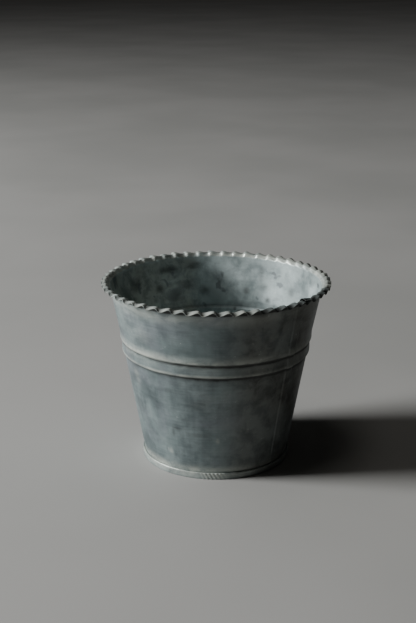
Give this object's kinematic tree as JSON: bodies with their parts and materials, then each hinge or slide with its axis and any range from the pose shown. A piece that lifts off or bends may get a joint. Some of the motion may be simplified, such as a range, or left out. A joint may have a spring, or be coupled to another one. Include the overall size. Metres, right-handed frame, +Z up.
{
  "type": "conical pail",
  "caption": "Small open conical sheet-metal pail with beaded wall, fluted out-turned lip at the mouth, lapped side seam and folded foot seam; holds a plant, cutlery or dry goods.",
  "frame": {"origin": "centre of the circle on which the foot seam rests", "axes": "+Z up along the axis of the cone, towards the mouth; -Y faces the viewer; the side seam is at about 319 degrees, counter-clockwise from +X seen from above"},
  "size_m": [0.1599, 0.16, 0.13],
  "materials": {
    "wall_zinc": "aged hot-dip zinc, dull, mottled blue-grey",
    "bottom_zinc": "aged hot-dip zinc, dull",
    "solder": "dull tin solder, slightly uneven"
  },
  "bodies": {
    "root": {"wall_sheet": "wall_zinc", "bottom_disc": "bottom_zinc", "side_seam_solder": "solder", "foot_solder": "solder"}
  },
  "joints": []
}
